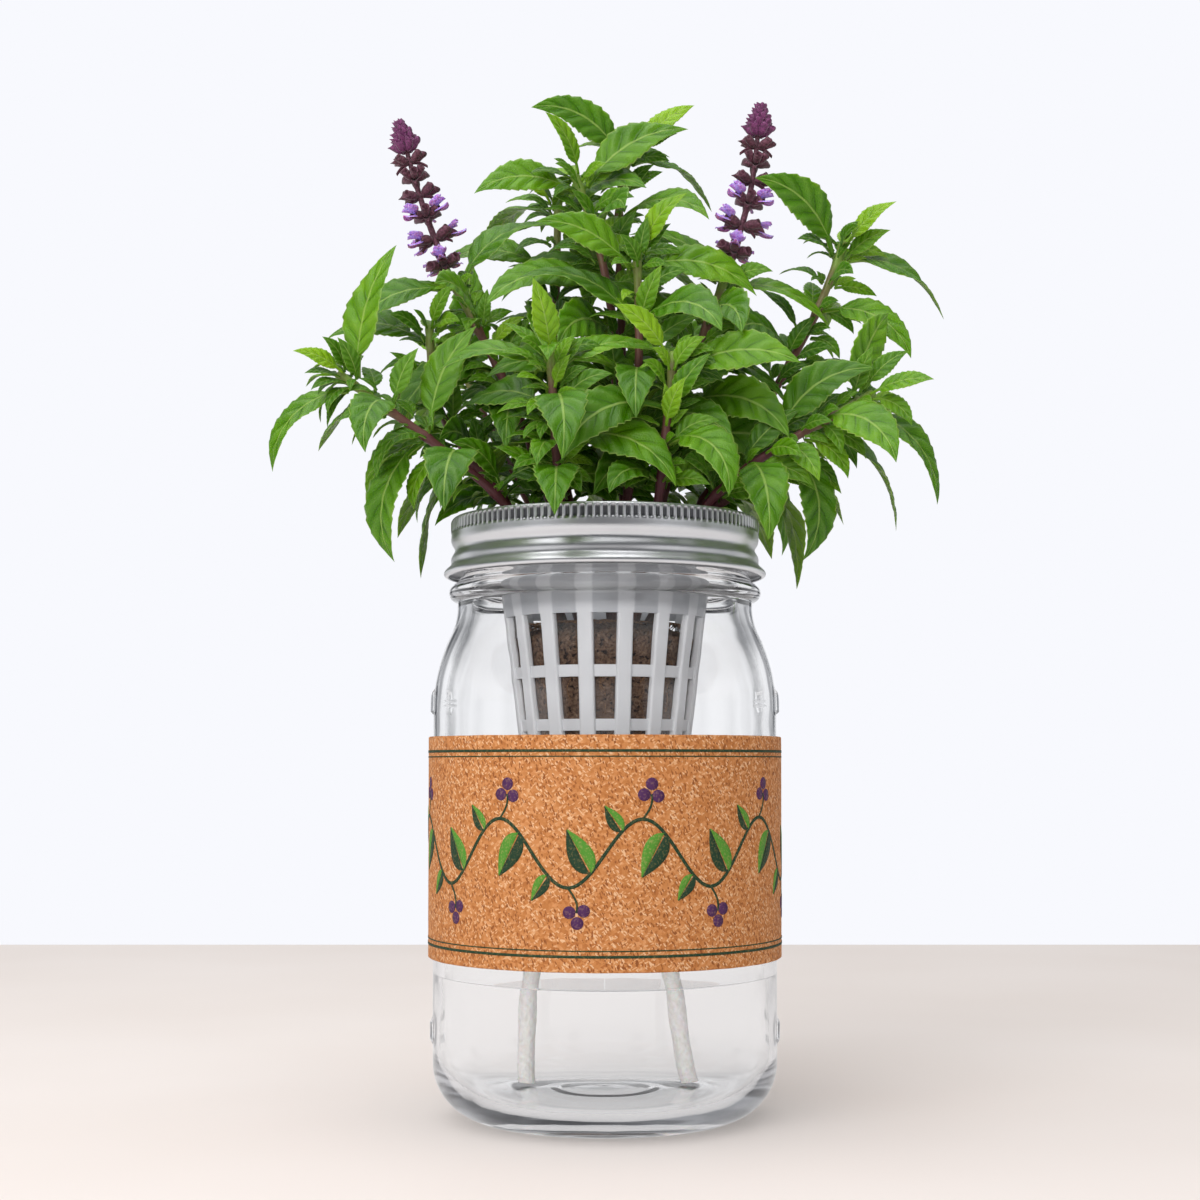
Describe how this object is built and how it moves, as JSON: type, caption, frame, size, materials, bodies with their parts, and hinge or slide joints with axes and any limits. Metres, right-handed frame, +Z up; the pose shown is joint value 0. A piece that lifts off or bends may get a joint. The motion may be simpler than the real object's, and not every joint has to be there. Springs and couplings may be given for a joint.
{
  "type": "hydroponic jar planter",
  "caption": "Glass canning jar with a cork sleeve, a screw band over a wick-fed net cup, and a leafy basil plant rooted in a coir plug.",
  "frame": {"origin": "centre of the plane that the jar stands on, on the jar's axis", "axes": "+Z up along the jar's axis, -Y towards the front, +X to the viewer's right"},
  "size_m": [0.1957, 0.1382, 0.2952],
  "materials": {
    "clear_glass": "clear, fire-polished",
    "aluminium": "satin rolled sheet",
    "white_polypropylene": "moulded satin",
    "coir": "pressed fibre",
    "cotton": "soft cord",
    "cork": "sanded granules",
    "stem": "fresh bark",
    "leaf": "waxy",
    "flower": "soft petals"
  },
  "bodies": {
    "jar": {"jar": "clear_glass"},
    "sleeve": {"cork_sleeve": "cork"},
    "insert": {"net_cup": "white_polypropylene", "wick_left": "cotton", "wick_right": "cotton"},
    "band": {"screw_band": "aluminium"},
    "plant": {"grow_plug": "coir", "leaves_back_left": "leaf", "leaves_back_right": "leaf", "leaves_centre": "leaf", "leaves_centre_back": "leaf", "leaves_flower_left": "leaf", "leaves_flower_right": "leaf", "leaves_front": "leaf", "leaves_front_right": "leaf", "leaves_inner": "leaf", "leaves_left": "leaf", "leaves_low_left": "leaf", "leaves_low_right": "leaf", "leaves_right": "leaf", "leaves_short_right": "leaf", "leaves_tall_back": "leaf", "spike_flower_left": "flower", "spike_flower_right": "flower", "stem_back_left": "stem", "stem_back_right": "stem", "stem_centre": "stem", "stem_centre_back": "stem", "stem_flower_left": "stem", "stem_flower_right": "stem", "stem_front": "stem", "stem_front_right": "stem", "stem_inner": "stem", "stem_left": "stem", "stem_low_left": "stem", "stem_low_right": "stem", "stem_right": "stem", "stem_short_right": "stem", "stem_tall_back": "stem"}
  },
  "joints": [
    {"name": "insert_lift", "type": "slide", "parent": "jar", "child": "insert", "axis": [0, 0, 1], "range_m": [0, 0.165]},
    {"name": "band_turn", "type": "hinge", "parent": "insert", "child": "band", "pos_m": [0, 0, 0.16], "axis": [0, 0, 1], "range_deg": [0, 450]},
    {"name": "plug_pull", "type": "slide", "parent": "insert", "child": "plant", "axis": [0, 0, 1], "range_m": [0, 0.095]},
    {"name": "sleeve_slide", "type": "slide", "parent": "jar", "child": "sleeve", "axis": [0, 0, 1], "range_m": [-0.016, 0.006]}
  ]
}
